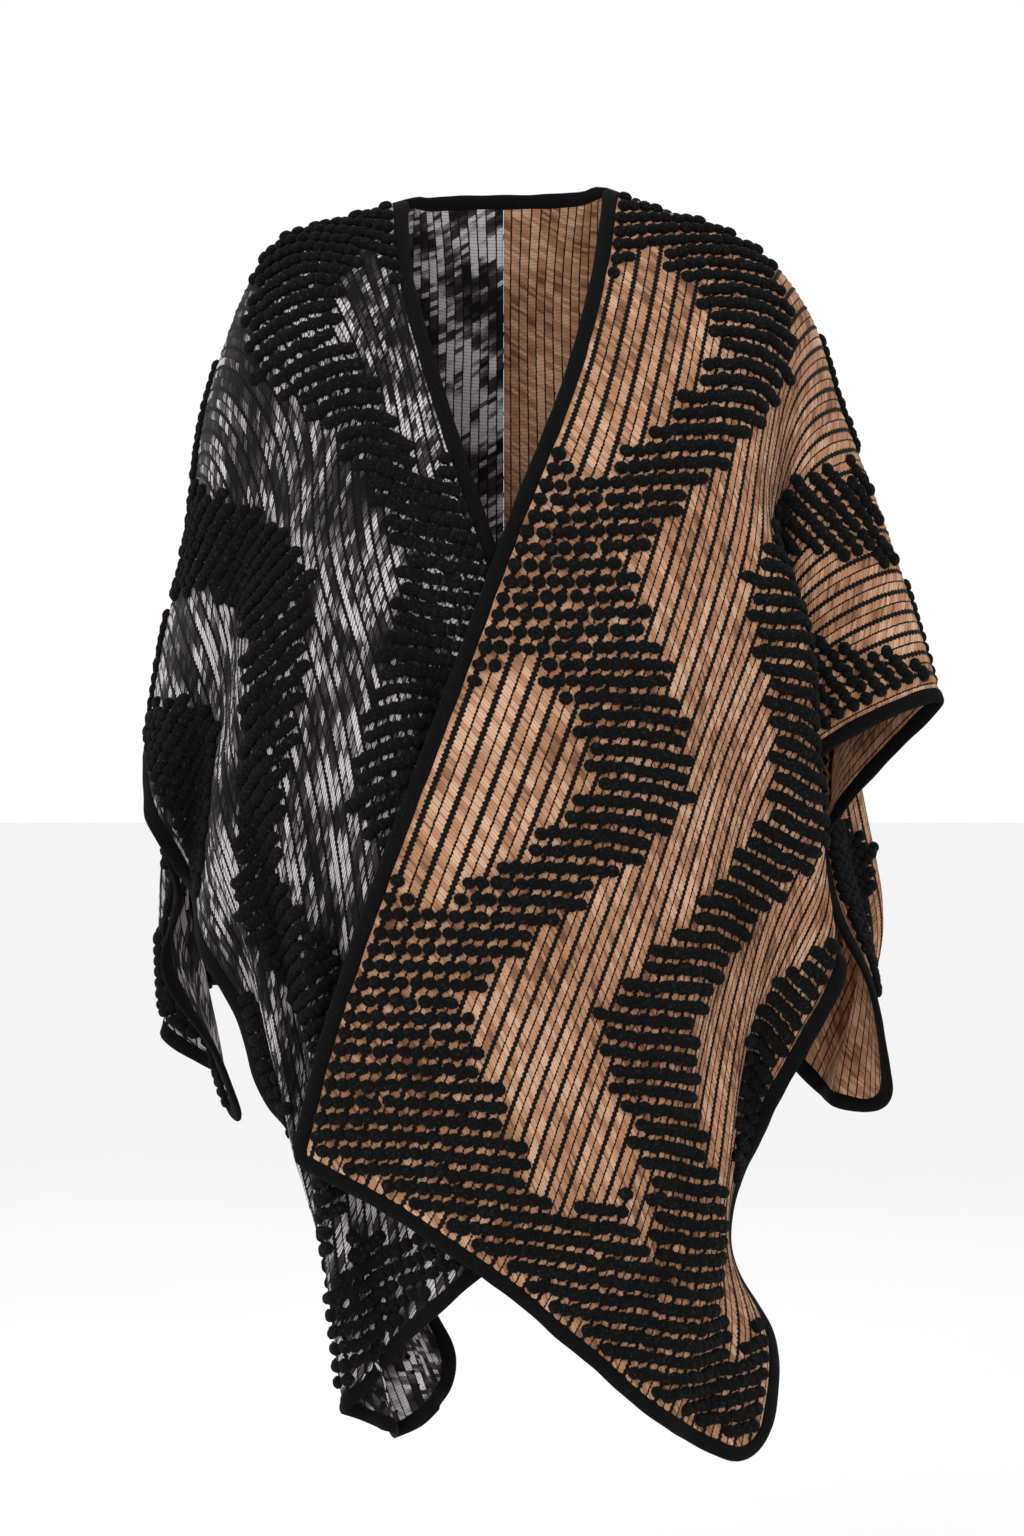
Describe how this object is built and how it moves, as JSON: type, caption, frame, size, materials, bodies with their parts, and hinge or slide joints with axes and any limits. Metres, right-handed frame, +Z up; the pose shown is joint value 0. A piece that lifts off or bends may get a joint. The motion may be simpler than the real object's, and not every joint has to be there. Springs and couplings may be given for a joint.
{
  "type": "knit poncho",
  "caption": "Open-fronted knit wrap in the shape it has when worn: one front crosses over the other at the waist, wide backs fall over the arms, and a soft band binds every edge.",
  "frame": {"origin": "between the two sides of the neck, at the height where the shoulders carry the cloth", "axes": "+X to the wearer's left, +Y to the wearer's back, +Z up"},
  "size_m": [0.7414, 0.3247, 1.1604],
  "materials": {
    "camel_knit": "thick soft knit, camel with black stripes and bobbles",
    "grey_knit": "thick soft knit, grey and white space-dyed with black stripes and bobbles",
    "black_yarn": "soft black wool yarn, with a fuzzy nap"
  },
  "bodies": {
    "root": {"left_front": "camel_knit", "left_back": "camel_knit", "right_front": "grey_knit", "right_back": "grey_knit", "left_front_band": "black_yarn", "left_back_band": "black_yarn", "right_front_band": "black_yarn", "right_back_band": "black_yarn", "neck_band": "black_yarn"}
  },
  "joints": []
}
